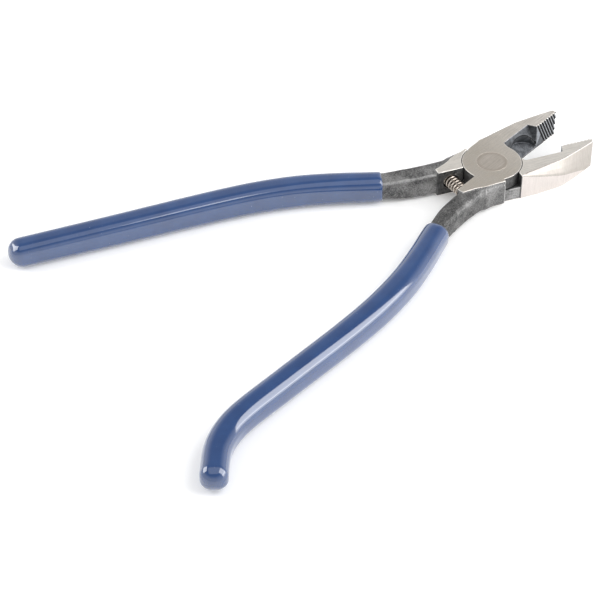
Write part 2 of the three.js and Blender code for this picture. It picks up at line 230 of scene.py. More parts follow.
def surface_nets(field, low, cell):
    """Points and quads on the zero level of a grid of distances."""
    inside = field < 0
    cells = tuple(n - 1 for n in field.shape)
    count = np.zeros(cells, np.int8)
    for i in (0, 1):
        for j in (0, 1):
            for k in (0, 1):
                count += inside[i:i + cells[0], j:j + cells[1], k:k + cells[2]]
    crossed = np.argwhere((count > 0) & (count < 8))
    number = np.full(cells, -1, np.int64)
    number[tuple(crossed.T)] = np.arange(len(crossed))

    corners = np.array([(i, j, k) for i in (0, 1) for j in (0, 1) for k in (0, 1)])
    values = np.stack([field[tuple((crossed + c).T)] for c in corners], 1)
    total = np.zeros((len(crossed), 3))
    hits = np.zeros(len(crossed))
    for a in range(8):
        for b in range(a + 1, 8):
            if np.abs(corners[a] - corners[b]).sum() != 1:
                continue
            va, vb = values[:, a], values[:, b]
            hit = (va < 0) != (vb < 0)
            share = np.where(hit, va / np.where(hit, va - vb, 1), 0)
            total += hit[:, None] * (corners[a] + share[:, None] * (corners[b] - corners[a]))
            hits += hit
    points = np.asarray(low) + cell * (crossed + total / hits[:, None])

    quads = []
    for axis in range(3):
        u, v = (axis + 1) % 3, (axis + 2) % 3
        here = np.take(inside, np.arange(field.shape[axis] - 1), axis)
        there = np.take(inside, np.arange(1, field.shape[axis]), axis)
        for starts in (True, False):
            edges = np.argwhere((here != there) & (here == starts))
            keep = (edges[:, u] > 0) & (edges[:, v] > 0)
            keep &= (edges[:, u] < cells[u]) & (edges[:, v] < cells[v])
            edges = edges[keep]
            ring = []
            for du, dv in ((-1, -1), (0, -1), (0, 0), (-1, 0)):
                cell_at = edges.copy()
                cell_at[:, u] += du
                cell_at[:, v] += dv
                ring.append(number[tuple(cell_at.T)])
            quads.append(np.column_stack(ring if starts else ring[::-1]))
    return points, np.concatenate(quads)


# ---- distances, negative inside -----------------------------------------------------------------

def rounded_max(a, b, radius):
    """Distance to what two shapes share, with the edge between them rounded."""
    over = np.hypot(np.maximum(a + radius, 0), np.maximum(b + radius, 0))
    return np.minimum(np.maximum(a, b), -radius) + over


def cut(body, tool, radius):
    return rounded_max(body, -tool, radius)


def join(a, b, radius):
    return -rounded_max(-a, -b, radius)


def outline_distance(x, y, outline):
    """Distance in plan to a closed outline."""
    nearest = np.full(np.broadcast(x, y).shape, np.inf)
    inside = np.zeros(nearest.shape, bool)
    for (ax, ay), (bx, by) in zip(outline, outline[1:] + outline[:1]):
        ex, ey = bx - ax, by - ay
        px, py = x - ax, y - ay
        share = np.clip((px * ex + py * ey) / (ex * ex + ey * ey), 0, 1)
        nearest = np.minimum(nearest, np.hypot(px - ex * share, py - ey * share))
        passes = (ay <= y) != (by <= y)
        inside ^= passes & ((ex * py - ey * px > 0) == (ey > 0))
    return np.where(inside, -nearest, nearest)


def layer_distance(z, low, high):
    return np.abs(z - (low + high) / 2) - (high - low) / 2


def slab(x, y, z, outline, low, high, edge):
    return rounded_max(outline_distance(x, y, outline), layer_distance(z, low, high), edge)


def spline(stations, steps):
    """A centripetal Catmull-Rom curve through stations, as three.js draws it. Only x and y bend."""
    knots = np.array([s[:2] for s in stations], float)
    knots = np.vstack([2 * knots[0] - knots[1], knots, 2 * knots[-1] - knots[-2]])
    points = []
    for p0, p1, p2, p3 in zip(knots, knots[1:], knots[2:], knots[3:]):
        d0, d1, d2 = (math.sqrt(math.dist(a, b)) for a, b in ((p0, p1), (p1, p2), (p2, p3)))
        m1 = ((p1 - p0) / d0 - (p2 - p0) / (d0 + d1) + (p2 - p1) / d1) * d1
        m2 = ((p2 - p1) / d1 - (p3 - p1) / (d1 + d2) + (p3 - p2) / d2) * d1
        t = np.linspace(0, 1, steps, endpoint=False)[:, None]
        points.append(p1 + m1 * t + (3 * (p2 - p1) - 2 * m1 - m2) * t ** 2
                      + (2 * (p1 - p2) + m1 + m2) * t ** 3)
    return np.vstack([*points, knots[-2]])


class HandleLine:
    """A handle's centreline, by distance along it."""

    def __init__(self, stations):
        self.points = spline(stations, 10)
        steps = np.hypot(*np.diff(self.points, axis=0).T)
        self.along = np.concatenate([[0], np.cumsum(steps)])
        self.length = self.along[-1]
        self.stations = np.array(stations)[::-1]

    def at(self, distance):
        return np.array([np.interp(distance, self.along, self.points[:, i]) for i in (0, 1)])

    def across(self, distance):
        ahead = self.at(min(distance + 0.5, self.length)) - self.at(max(distance - 0.5, 0))
        ahead = ahead / np.hypot(*ahead)
        return np.array([-ahead[1], ahead[0]])

    def distance_at_x(self, x):
        return np.interp(-x, -self.points[:, 0], self.along)

    def section(self, x):
        """Width and thickness of the steel where the centreline is at x."""
        return tuple(np.interp(x, self.stations[:, 0], self.stations[:, i]) for i in (2, 3))

    def nearest(self, x, y, far):
        """Centreline x and sideways distance of the nearest place on the line up to far."""
        best = np.full(np.broadcast(x, y).shape, np.inf)
        centre_x = np.zeros(best.shape)
        last = np.searchsorted(self.along, far)
        for (ax, ay), (bx, by) in zip(self.points[:last], self.points[1:last + 1]):
            ex, ey = bx - ax, by - ay
            share = np.clip(((x - ax) * ex + (y - ay) * ey) / (ex * ex + ey * ey), 0, 1)
            off = np.hypot(x - ax - ex * share, y - ay - ey * share)
            nearer = off < best
            best = np.where(nearer, off, best)
            centre_x = np.where(nearer, ax + ex * share, centre_x)
        return centre_x, best


def rounded_section(sideways, upwards, half_width, half_height, corner):
    u = sideways - half_width + corner
    v = np.abs(upwards) - half_height + corner
    return np.hypot(np.maximum(u, 0), np.maximum(v, 0)) + np.minimum(np.maximum(u, v), 0) - corner


def waves(x, y, z, size, seed):
    """A smooth random height between -1 and 1 that changes over size millimetres."""
    lattice = np.random.default_rng(seed).uniform(-1, 1, (16, 16, 16))
    cells, shares = [], []
    for c in (x, y, z):
        cell = np.floor(c / size)
        share = c / size - cell
        cells.append(cell.astype(int))
        shares.append(share * share * (3 - 2 * share))
    total = 0.0
    for i in (0, 1):
        for j in (0, 1):
            for k in (0, 1):
                weight = 1.0
                for corner, share in zip((i, j, k), shares):
                    weight = weight * (share if corner else 1 - share)
                at = [(c + n) % 16 for c, n in zip(cells, (i, j, k))]
                total = total + weight * lattice[at[0], at[1], at[2]]
    return total


# ---- the forged halves --------------------------------------------------------------------------

def facet_distance(x, y, z):
    """The outer facet, from the upper face's edge over its belly down to the jaw's side."""
    top = np.interp(x, *np.transpose(JAW_TOP_EDGE))
    side = np.maximum(np.interp(x, *np.transpose(JAW_SIDE)), top + 0.05)
    depth = np.maximum(FACET_SLOPE * (x - SHOULDER[0]), 0.02)
    out, down = FACET_BELLY
    belly_y, belly_z = top + out * (side - top), HEAD_THICKNESS - down * depth
    planes = []
    for (ya, za), (yb, zb) in (((top, HEAD_THICKNESS), (belly_y, belly_z)),
                               ((belly_y, belly_z), (side, HEAD_THICKNESS - depth))):
        run, drop = yb - ya, za - zb
        planes.append(((y - ya) * drop + (z - za) * run) / np.hypot(run, drop))
    return np.where(x > SHOULDER[0], np.maximum(*planes), -1.0)


def notch_distance(x, y, z):
    slope = NOTCH_DEPTH / (HEAD_THICKNESS - NOTCH_FLOOR)
    back = (y - slope * (z - NOTCH_FLOOR)) / math.hypot(1, slope)
    return np.maximum(np.maximum(outline_distance(x, y, NOTCH_PLAN), NOTCH_FLOOR - z), back)


def knife_floor(y, z):
    """Height above the knife's sloping upper side."""
    sin, cos = math.sin(KNIFE_SLOPE), math.cos(KNIFE_SLOPE)
    return (z - KNIFE_EDGE_Z) * cos - (y - CLOSING_GAP) * sin


def knife_distance(x, y, z):
    """The round pocket whose flat floor is the knife's upper side."""
    across = (y - CLOSING_GAP) * math.cos(KNIFE_SLOPE) + (z - KNIFE_EDGE_Z) * math.sin(KNIFE_SLOPE)
    return np.maximum(np.hypot(x - KNIFE_X, across + KNIFE_BACK) - KNIFE_RADIUS, -knife_floor(y, z))


def teeth_distance(x, y, z):
    """Nine leaning V grooves in the closing face."""
    pitch = TOOTH_PITCH * math.cos(TOOTH_LEAN)
    along = (x - TOOTH_START) * math.cos(TOOTH_LEAN) - (HEAD_THICKNESS - z) * math.sin(TOOTH_LEAN)
    index = np.clip(np.round(along / pitch), 0, TOOTH_COUNT - 1)
    bottom = CLOSING_GAP + TOOTH_DEPTH
    slope = TOOTH_WIDTH / 2 / bottom
    return (np.abs(along - index * pitch) - slope * (bottom - y)) / math.hypot(1, slope)


def socket_distance(x, y, z):
    """The hole that the spring sits in. It runs along the object's y axis."""
    cos, sin = math.cos(HALF_OPEN), math.sin(HALF_OPEN)
    tool_x, tool_y = x * cos - y * sin, x * sin + y * cos
    bore = np.hypot(tool_x - SPRING_X, z - MIDDLE) - SOCKET_DIAMETER / 2
    return np.maximum(bore, np.maximum(-SOCKET_END - tool_y, tool_y + 2))


def rivet_radius(z):
    """Outside of the rivet: two countersunk heads on a shank."""
    depth = np.minimum(z, HEAD_THICKNESS - z)
    return np.interp(depth, (RIVET_LAND, RIVET_HEAD_DEPTH), (RIVET_HEAD, RIVET_SHANK))


def half_parts(x, y, z, half, line):
    """The shapes that a forged half is made of, by the finish each one has."""
    jaw_outline = [(SHOULDER[0], CLOSING_GAP), (JAW_LENGTH, CLOSING_GAP), *JAW_SIDE[::-1]]
    centre_x, sideways = line.nearest(x, y, line.distance_at_x(FIELD_LOW[0] - 6))
    width, thickness = line.section(centre_x)
    radial = np.hypot(x, y)
    lower, upper = half.own
    other = (upper, HEAD_THICKNESS + BEYOND) if lower == 0 else (-BEYOND, lower)
    return {
        "handle": rounded_section(sideways, z - MIDDLE, width / 2, thickness / 2, half.corner),
        "root": slab(x, y, z, FORGED_ROOT, ROOT_STEP, HEAD_THICKNESS - ROOT_STEP, FORGED_EDGE),
        "tail": slab(x, y, z, TAIL, 0, HEAD_THICKNESS, GROUND_EDGE),
        "jaw": slab(x, y, z, jaw_outline, 0, HEAD_THICKNESS, GROUND_EDGE),
        "disc": rounded_max(radial - DISC_RADIUS, layer_distance(z, *half.own), CUT_EDGE),
        "lug": slab(x, y, z, STOP_LUG, *half.own, CUT_EDGE),
        "lap": np.maximum(radial - SHOULDER_RADIUS, layer_distance(z, *other)),
        "bore": radial - rivet_radius(z) + RIVET_LAP,
        "facet": facet_distance(x, y, z),
        "notch": notch_distance(x, y, z),
        "knife": knife_distance(x, y, z),
        "teeth": teeth_distance(x, y, z),
        "socket": socket_distance(x, y, z),
    }


def half_distance(x, y, z, half, line):
    p = half_parts(x, y, z, half, line)
    forging = join(p["handle"], p["root"], FORGED_FILLET)
    for seed, (size, height) in enumerate(FORGED_WAVES):
        forging = forging + height * (1 + waves(x, y, z, size, seed))
    body = join(forging, p["tail"], TAIL_FILLET)
    body = np.minimum(body, p["jaw"])
    body = cut(body, p["lap"], CUT_EDGE)
    body = np.minimum(np.minimum(body, p["disc"]), p["lug"])
    body = cut(body, p["bore"], CUT_EDGE / 2)
    body = rounded_max(body, p["facet"], GROUND_EDGE)
    body = cut(body, p["notch"], CUT_EDGE)
    body = cut(body, p["knife"], CUT_EDGE)
    body = cut(body, p["teeth"], TOOTH_EDGE)
    return cut(body, p["socket"], GROUND_EDGE)


FINISHES = ("forged", "ground", "side", "facet", "cutter", "pocket", "ridge", "lap")


def finish_of(x, y, z, half, line):
    """Index in FINISHES for places on the surface of a half."""
    p = half_parts(x, y, z, half, line)
    near, skin_depth = 0.3, 0.12    # counts as on a shape, and as on the upper or lower face
    on = {name: np.abs(distance) < near for name, distance in p.items()}
    depth = np.minimum(np.abs(z), np.abs(HEAD_THICKNESS - z))
    shoulder, notch_start = SHOULDER[0], NOTCH_PLAN[0][0]
    finish = np.zeros(x.shape, int)

    def paint(where, name):
        finish[where] = FINISHES.index(name)

    # Faces between the parts and inside the sockets get the dark lap finish: painted shade.
    paint(on["disc"] | on["lug"], "lap")
    paint(on["lug"] & (y > 11) & (x < shoulder), "forged")
    paint(on["tail"] & (y > -1.2) & (depth > 0.15), "lap")
    paint(on["jaw"], "side")
    paint(on["jaw"] & (x < shoulder + 0.25), "lap")
    paint(on["facet"] & (x > shoulder) & (y > 2), "facet")
    paint(on["lap"] & (depth > 0.2), "lap")
    ground = (depth < skin_depth) & ~(on["facet"] & (x > shoulder + 2))
    ground &= on["tail"] | on["jaw"] | on["disc"] | on["lug"]
    paint(ground, "ground")
    closing = (y < CLOSING_GAP + TOOTH_DEPTH + 0.2) & (x > notch_start) & (depth > skin_depth)
    paint(closing, "cutter")
    cut_out = (p["notch"] > 0.06) & (p["knife"] > 0.06)
    paint((on["notch"] | on["knife"]) & (x > notch_start) & (y < 6) & ~(ground & cut_out), "cutter")
    # The knife pocket's wall and the teeth's grooves are painted near black: painted shade.
    knife_wall = on["knife"] & (knife_floor(y, z) > 0.25) & (y < 8) & ~(ground & cut_out)
    paint(knife_wall & (p["knife"] > p["notch"] - 0.1), "pocket")
    paint(closing & (p["teeth"] < 0.1) & (x > TOOTH_START - 1), "pocket")
    # The bright lands: partly rubbed metal, partly painted highlight.
    lands = closing & (y < CLOSING_GAP + 0.12) & (outline_distance(x, z, LANDS) < 0)
    paint(lands & (p["teeth"] > 0.1), "ridge")
    paint(on["socket"], "lap")
    return finish


def section_ring(line, distance, grow, corner, scale=(1.0, 1.0), crown=0.0, points=9, flats=3):
    """A rounded rectangle across the handle, grown outwards by grow, its sides crowned."""
    centre, across = line.at(distance), line.across(distance)
    width, thickness = line.section(centre[0])
    half_width, half_height = width / 2 + grow, thickness / 2 + grow
    turns = np.linspace(0, math.pi / 2, points)
    ring = []
    for quarter, (su, sv) in enumerate(((1, 1), (-1, 1), (-1, -1), (1, -1))):
        turn = turns + quarter * math.pi / 2
        u = su * (half_width - corner) + corner * np.cos(turn)
        v = sv * (half_height - corner) + corner * np.sin(turn)
        ring.extend(zip(u, v))
        next_u = (-su if quarter % 2 == 0 else su) * (half_width - corner)
        next_v = (-sv if quarter % 2 == 1 else sv) * (half_height - corner)
        end_turn = (quarter + 1) * math.pi / 2
        next_u += corner * math.cos(end_turn)
        next_v += corner * math.sin(end_turn)
        for share in np.linspace(0, 1, flats + 2)[1:-1]:
            ring.append((u[-1] + share * (next_u - u[-1]), v[-1] + share * (next_v - v[-1])))
    u, v = np.array(ring).T
    u, v = (u * (1 - crown / half_width * (v / half_height) ** 2) * scale[0],
            v * (1 - crown / half_height * (u / half_width) ** 2) * scale[1])
    return np.column_stack([centre[0] + across[0] * u, centre[1] + across[1] * u, MIDDLE + v])


def tang(half, line):
    """The steel inside the grip, from just inside the forged half's end."""
    start = line.distance_at_x(FIELD_LOW[0] + TANG_LAP)
    end = line.length - GRIP_END_SOLID
    rings = [section_ring(line, d, -0.02, half.corner) for d in np.linspace(start, end, 60)]
    return skin(rings)


def evened(values, quads):
    """The value at each point moved half way to the mean of its neighbours."""
    total = np.zeros(values.shape)
    count = np.zeros(len(values))
    for step in (1, -1):
        for corner in range(4):
            np.add.at(total, quads[:, corner], values[quads[:, (corner + step) % 4]])
            np.add.at(count, quads[:, corner], 1)
    return (values + (total.T / count).T) / 2


def edge_heights(points, quads):
    """How far each point stands out from its neighbours, in cells: 0 on flat places, less in corners."""
    a, b, c, d = (points[quads[:, i]] for i in range(4))
    across = np.cross(c - a, d - b)
    normals = np.zeros(points.shape)
    for corner in range(4):
        np.add.at(normals, quads[:, corner], across)
    normals /= np.maximum(np.linalg.norm(normals, axis=1), 1e-9)[:, None]
    height = ((points - evened(points, quads)) * normals).sum(1) / CELL
    for _ in range(2):
        height = evened(height, quads)
    return height


def settled(points, half, line):
    """Points moved onto the exact surface of a half."""
    step = CELL / 8
    here = half_distance(*points.T, half, line)
    slope = np.column_stack([
        (half_distance(*(points + step * ahead).T, half, line) - here) / step for ahead in np.eye(3)])
    size = np.maximum((slope ** 2).sum(1), 0.2)
    move = np.clip(here / size, -CELL / 2, CELL / 2)[:, None] * slope
    return np.where(points[:, :1] > FIELD_LOW[0] + 1, points - move, points)


def forged_half(half, line, finishes):
    axes = [np.arange(low, high, CELL) for low, high in zip(FIELD_LOW, FIELD_HIGH)]
    x, y, z = np.meshgrid(*axes, indexing="ij", sparse=True)
    field = half_distance(x, y, z, half, line)
    field = np.maximum(field, FIELD_LOW[0] + 2 * CELL - x)
    points, quads = surface_nets(field, FIELD_LOW, CELL)
    points = settled(points, half, line)
    for _ in range(2):
        points = settled(evened(points, quads), half, line)
    points[:, 2] = np.clip(points[:, 2], 0, HEAD_THICKNESS)
    centres = points[quads].mean(1)
    finish = finish_of(*centres.T, half, line)

    tang_points, tang_faces = tang(half, line)
    faces = quads.tolist() + [[i + len(points) for i in face] for face in tang_faces]
    finish = np.concatenate([finish, np.zeros(len(tang_faces), int)])
    edge = edge_heights(points, quads)
    edge[np.hypot(points[:, 0], points[:, 1]) < RIVET_HEAD + 3 * CELL] = 0
    edge = np.concatenate([edge, np.zeros(len(tang_points))])
    points = to_tool(np.vstack([points, tang_points]), half)
    piece = new_piece(half.name + "_forging", points, faces, finishes, finish, edge,
                      flip=half.side < 0)
    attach(piece, half.body)
    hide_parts(half.name + "_half")
    return piece


# ---- grips, rivet and spring --------------------------------------------------------------------

GRIP_LIP = [(3.0, 0.06), (1.0, 0.06), (0.45, 0.10), (0.16, 0.28), (0.0, 0.58), (0.06, 0.88),
            (0.3, 1.12), (0.75, 1.28), (1.4, 1.36), (2.2, GRIP_OUTER)]   # along, out from the steel


def grip(half, line, finish):
    start = line.distance_at_x(GRIP_START)
    steel_end = line.length - GRIP_END_SOLID + FIT_GAP
    end = line.length - GRIP_END_INSET

    def corner_at(distance):
        mouth = max(1 - (distance - start) / GRIP_MOUTH, 0)
        return half.grip_corner + GRIP_MOUTH_CORNER * mouth

    hollow = np.linspace(steel_end, start + 6, 60)
    rings = [section_ring(line, d, FIT_GAP, half.corner + FIT_GAP) for d in hollow]
    for along, out in GRIP_LIP:
        share = min(out / GRIP_OUTER, 1)
        corner = half.corner + share * (corner_at(start) - half.corner)
        rings.append(section_ring(line, start + along, out, corner, crown=GRIP_CROWN * share))
    body = np.arange(start + 3.2, end - GRIP_END_SLOPE, 1.6)
    rings += [section_ring(line, d, GRIP_OUTER, corner_at(d), crown=GRIP_CROWN) for d in body]
    for degrees in range(0, 90, 4):
        along = GRIP_END_SLOPE * math.sin(math.radians(degrees))
        into_round = max(along - (GRIP_END_SLOPE - GRIP_END_ROUND), 0) / GRIP_END_ROUND
        scale = (math.sqrt(1 - into_round ** 2), math.cos(math.radians(degrees)))
        rings.append(section_ring(line, end - GRIP_END_SLOPE + along, GRIP_OUTER,
                                  half.grip_corner, scale, GRIP_CROWN))
    points, faces = skin(rings)
    points[:, 2] = np.clip(points[:, 2], 0, HEAD_THICKNESS)
    piece = new_piece(half.name + "_sleeve", to_tool(points, half), faces, [finish],
                      flip=half.side < 0)
    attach(piece, half.body)
    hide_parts(half.name + "_grip")
    return piece


def rivet(finish):
    """The rivet, turned about its axis, with a slightly dished face at each end."""
    edge, dish, sides = 0.04, 0.02, 96
    profile = [(0.02, dish), (2.5, dish), (4.6, dish * 0.8), (5.3, dish * 0.2), (RIVET_HEAD - edge, 0.0),
               (RIVET_HEAD - edge * 0.3, edge * 0.3), (RIVET_HEAD, edge), (RIVET_HEAD, RIVET_LAND),
               (RIVET_SHANK, RIVET_HEAD_DEPTH)]
    profile += [(r, HEAD_THICKNESS - h) for r, h in profile[::-1]]
    turns = np.linspace(0, 2 * math.pi, sides, endpoint=False)
    rings = [np.column_stack([r * np.cos(turns), r * np.sin(turns), np.full(sides, h)]) / 1000
             for r, h in profile]
    points, faces = skin(rings)
    piece = new_piece("rivet", points, faces, [finish])
    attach(piece, "straight_side")
    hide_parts("pivot_rivet")
    return piece


def spring(finish):
    """The coil spring: even turns on a straight axis between the two halves."""
    sides, per_turn = 12, 40
    radius = (SPRING_OUTER - SPRING_WIRE) / 2
    reach = SPRING_END - SPRING_WIRE / 2
    slope = 2 * reach / SPRING_TURNS / (2 * math.pi * radius)
    turns = np.linspace(0, SPRING_TURNS, SPRING_TURNS * per_turn + 1)
    around = np.linspace(0, 2 * math.pi, sides, endpoint=False)
    cos, sin = np.cos(around)[:, None], np.sin(around)[:, None]
    rings = []
    for a, along in zip(turns * 2 * math.pi, reach * (2 * turns / SPRING_TURNS - 1)):
        out = np.array([math.cos(a), 0, math.sin(a)])
        ahead = np.array([-math.sin(a), slope, math.cos(a)]) / math.hypot(1, slope)
        centre = np.array([SPRING_X, along, MIDDLE]) + radius * out
        ring = centre + SPRING_WIRE / 2 * (cos * out + sin * np.cross(ahead, out))
        rings.append(ring / 1000)
    points, faces = skin(rings)
    piece = new_piece("coil_spring", points, faces, [finish])
    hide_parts("handle_spring")
    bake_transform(piece)
    return piece


# ---- finishes -----------------------------------------------------------------------------------

class Finish:
    """A Principled material, with the nodes that vary it over the surface. Sizes are millimetres."""

    def __init__(self, name, **constants):
        self.material = bpy.data.materials.new(name)
        self.material.use_nodes = True
        self.nodes = self.material.node_tree.nodes
        self.links = self.material.node_tree.links
        self.shader = self.nodes["Principled BSDF"]
        self.place = self.nodes.new("ShaderNodeTexCoord").outputs["Object"]
        for socket, value in constants.items():
            self.shader.inputs[socket.replace("_", " ")].default_value = value

    def node(self, kind, inputs, **settings):
        made = self.nodes.new(kind)
        for name, value in settings.items():
            setattr(made, name, value)
        for name, value in inputs.items():
            if isinstance(value, bpy.types.NodeSocket):
                self.links.new(value, made.inputs[name])
            else:
                made.inputs[name].default_value = value
        return made

    def noise(self, size, stretch=(1, 1, 1), turn=0.0, detail=3.0, roughness=0.55):
        """Random value from about 0.3 to 0.7. Stretch makes it longer along that axis."""
        scale = [1000 / size / s for s in stretch]
        spun = self.node("ShaderNodeMapping", {"Vector": self.place, "Rotation": (0, 0, turn)})
        placed = self.node("ShaderNodeMapping", {"Vector": spun.outputs["Vector"], "Scale": scale})
        made = self.node("ShaderNodeTexNoise", {"Vector": placed.outputs["Vector"], "Scale": 1.0,
                                                "Detail": detail, "Roughness": roughness})
        return made.outputs["Fac"]

    def ramp(self, value, low, high, to_low=0.0, to_high=1.0):
        made = self.node("ShaderNodeMapRange", {"Value": value, "From Min": low, "From Max": high,
                                                "To Min": to_low, "To Max": to_high})
        return made.outputs["Result"]

    def maths(self, kind, a, b):
        made = self.nodes.new("ShaderNodeMath")
        made.operation = kind
        for socket, value in zip(made.inputs, (a, b)):
            if isinstance(value, bpy.types.NodeSocket):
                self.links.new(value, socket)
            else:
                socket.default_value = value
        return made.outputs["Value"]

    def mix(self, amount, first, second):
        inputs = {"Fac": amount}
        for name, colour in (("Color1", first), ("Color2", second)):
            inputs[name] = colour if isinstance(colour, bpy.types.NodeSocket) else (*colour, 1)
        return self.node("ShaderNodeMixRGB", inputs).outputs["Color"]

    def edges(self, low, high):
        """1 on outer edges and 0 on flat faces, from edge_heights()."""
        height = self.node("ShaderNodeAttribute", {}, attribute_name="edge").outputs["Fac"]
        return self.ramp(height, low, high)

    def feed(self, socket, value):
        self.links.new(value, self.shader.inputs[socket])

    def bump(self, height, depth, strength=1.0):
        made = self.node("ShaderNodeBump", {"Height": height, "Distance": depth / 1000,
                                            "Strength": strength})
        self.feed("Normal", made.outputs["Normal"])


def grey(value, warm=0.0):
    return (value * (1 + warm), value, value * (1 - warm))


def blued(value):
    return (value * 0.95, value, value * 1.09)


def mean(first, second):
    return [(a + b) / 2 for a, b in zip(first, second)]


def ground_noises(f, turn, lines_along=(15, 1, 1)):
    """The lines, grain and cloud that ground steel varies by."""
    lines = f.noise(0.40, stretch=lines_along, turn=turn, detail=3, roughness=0.7)
    grain = f.noise(0.5, detail=4, roughness=0.7)
    cloud = f.noise(5.0, detail=4, roughness=0.6)
    return lines, grain, cloud


def ground_surface(f, shade, lines, grain, rough):
    """Ground steel's colour, with the roughness and scratches that its lines and grain give."""
    f.feed("Base Color", shade)
    f.feed("Roughness", f.ramp(f.maths("ADD", lines, grain), 0.7, 1.3, rough - 0.06, rough + 0.10))
    f.bump(f.maths("ADD", lines, f.maths("MULTIPLY", grain, 0.6)), 0.012)
    return f.material


def ground_finish(name, turn, near, far, rough, lines_along=(15, 1, 1), marks=1.0):
    """Surface-ground steel, cloudy, its colour going from near at the rivet to far at the jaw tip."""
    f = Finish(name, Metallic=1.0)
    lines, grain, cloud = ground_noises(f, turn, lines_along)
    x = f.node("ShaderNodeSeparateXYZ", {"Vector": f.place}).outputs["X"]
    shade = f.mix(f.ramp(x, 0.0, 0.028), near, far)
    worn = mean(near, far)
    shade = f.mix(f.ramp(cloud, 0.35, 0.65, 0.0, 0.55 * marks), shade, [c * 0.80 for c in worn])
    shade = f.mix(f.ramp(lines, 0.42, 0.66, 0.0, 0.5 * marks), shade, [c * 0.66 for c in worn])
    shade = f.mix(f.ramp(grain, 0.52, 0.70, 0.0, 0.35), shade, [min(c * 1.25, 0.97) for c in far])
    # Outer edges painted light: partly worn metal, partly painted highlight.
    shade = f.mix(f.ramp(f.edges(0.02, 0.06), 0, 1, 0, 0.4), shade, (0.95, 0.93, 0.90))
    return ground_surface(f, shade, lines, grain, rough)


def forged_finish(name, dark, light):
    """Dark forging skin: mottled oxide, pitting, worn patches, and light high spots and edges: partly
    worn metal, partly painted highlight.
    """
    f = Finish(name, Metallic=0.75)
    patch = f.noise(14.0, detail=2)
    blotch = f.noise(3.5, detail=5, roughness=0.72)
    pits = f.noise(0.55, detail=4, roughness=0.75)
    x = f.node("ShaderNodeSeparateXYZ", {"Vector": f.place}).outputs["X"]
    shade = f.mix(f.ramp(blotch, 0.36, 0.66), grey(dark), grey(light, 0.01))
    shade = f.mix(f.ramp(x, -0.026, -0.006, 0.0, 0.35), shade, grey(light * 2.2, 0.01))
    shade = f.mix(f.ramp(patch, 0.46, 0.62, 0.0, 0.6), shade, grey(light * 2.2, 0.01))
    # Light specks on the pitting's high points: partly worn metal, partly painted highlight.
    shade = f.mix(f.ramp(pits, 0.50, 0.62, 0.0, 0.38), shade, grey(light * 2.4))
    shade = f.mix(f.ramp(pits, 0.36, 0.50, 0.45, 0.0), shade, grey(dark * 0.4))
    # Outer edges painted light, such as the handle's crease: partly worn metal, partly painted
    # highlight.
    shade = f.mix(f.ramp(f.edges(0.012, 0.03), 0, 1, 0, 0.55), shade, grey(0.60, 0.01))
    f.feed("Base Color", shade)
    f.feed("Roughness", f.ramp(f.maths("ADD", blotch, pits), 0.7, 1.3, 0.66, 0.46))
    f.bump(f.maths("ADD", f.maths("MULTIPLY", pits, 0.8), blotch), 0.10)
    return f.material


def cutter_finish(name, dark, light, rim):
    """Hardened, blued steel of the cutters and teeth, its rims painted bright: partly wear, partly
    painted highlight.
    """
    f = Finish(name, Metallic=0.85)
    blotch = f.noise(2.2, detail=4, roughness=0.65)
    lines = f.noise(0.3, stretch=(1, 6, 1), detail=2)
    shade = f.mix(f.ramp(blotch, 0.38, 0.66), blued(dark), blued(light))
    shade = f.mix(f.ramp(lines, 0.5, 0.75, 0.0, 0.5), shade, blued(light * 1.4))
    # Outer edges painted light: partly worn metal, partly painted highlight.
    shade = f.mix(f.ramp(f.edges(0.02, 0.07), 0, 1, 0, 0.6), shade, grey(rim))
    f.feed("Base Color", shade)
    f.feed("Roughness", f.ramp(blotch, 0.35, 0.65, 0.34, 0.5))
    f.bump(f.maths("ADD", blotch, f.maths("MULTIPLY", lines, 0.5)), 0.02)
    return f.material


def lap_finish():
    """The faces between the laps, at the stops and inside the sockets, painted dark: painted shade."""
    f = Finish("lap_faces_painted_shade", Metallic=0.7)
    blotch = f.noise(2.5, detail=4, roughness=0.65)
    lines = f.noise(0.25, stretch=(1, 1, 8), detail=2)
    shade = f.mix(f.ramp(blotch, 0.35, 0.65), grey(0.045), grey(0.14))
    shade = f.mix(f.ramp(lines, 0.5, 0.75, 0.0, 0.4), shade, grey(0.25))
    # Outer edges painted light: partly worn metal, partly painted highlight.
    shade = f.mix(f.ramp(f.edges(0.02, 0.07), 0, 1, 0, 0.4), shade, grey(0.45))
    f.feed("Base Color", shade)
    f.feed("Roughness", f.ramp(lines, 0.35, 0.65, 0.4, 0.55))
    f.bump(f.maths("ADD", blotch, lines), 0.02)
    return f.material


def rivet_finish():
    """The disc's ground steel, with a faint heat tint just inside the rivet's edge."""
    f = Finish("rivet_face", Metallic=1.0)
    lines, grain, cloud = ground_noises(f, -HALF_OPEN)
    parts = f.node("ShaderNodeSeparateXYZ", {"Vector": f.place}).outputs
    across = f.maths("ADD", f.maths("MULTIPLY", parts["X"], parts["X"]),
                     f.maths("MULTIPLY", parts["Y"], parts["Y"]))
    radius = f.maths("MULTIPLY", f.maths("SQRT", across, 0.0), 1000)
    ring = f.maths("MULTIPLY", f.ramp(radius, 4.1, 5.4), f.ramp(radius, 6.0, 5.5))
    clouded = [c * 0.86 for c in DISC_STEEL]
    shade = f.mix(f.ramp(cloud, 0.35, 0.65, 0.0, 0.55), grey(0.64, 0.09), clouded)
    shade = f.mix(f.ramp(lines, 0.42, 0.66, 0.0, 0.5), shade, [c * 0.66 for c in DISC_STEEL])
    shade = f.mix(f.maths("MULTIPLY", ring, 0.5), shade, (0.46, 0.40, 0.34))
    return ground_surface(f, shade, lines, grain, GROUND_ROUGHNESS)


def spring_finish():
    f = Finish("spring_wire", Metallic=1.0)
    draw = f.noise(0.5, detail=3)
    f.feed("Base Color", f.mix(f.ramp(draw, 0.35, 0.65), (0.62, 0.53, 0.45), (0.80, 0.74, 0.67)))
    f.feed("Roughness", f.ramp(draw, 0.35, 0.65, 0.22, 0.34))
    f.bump(draw, 0.008)
    return f.material


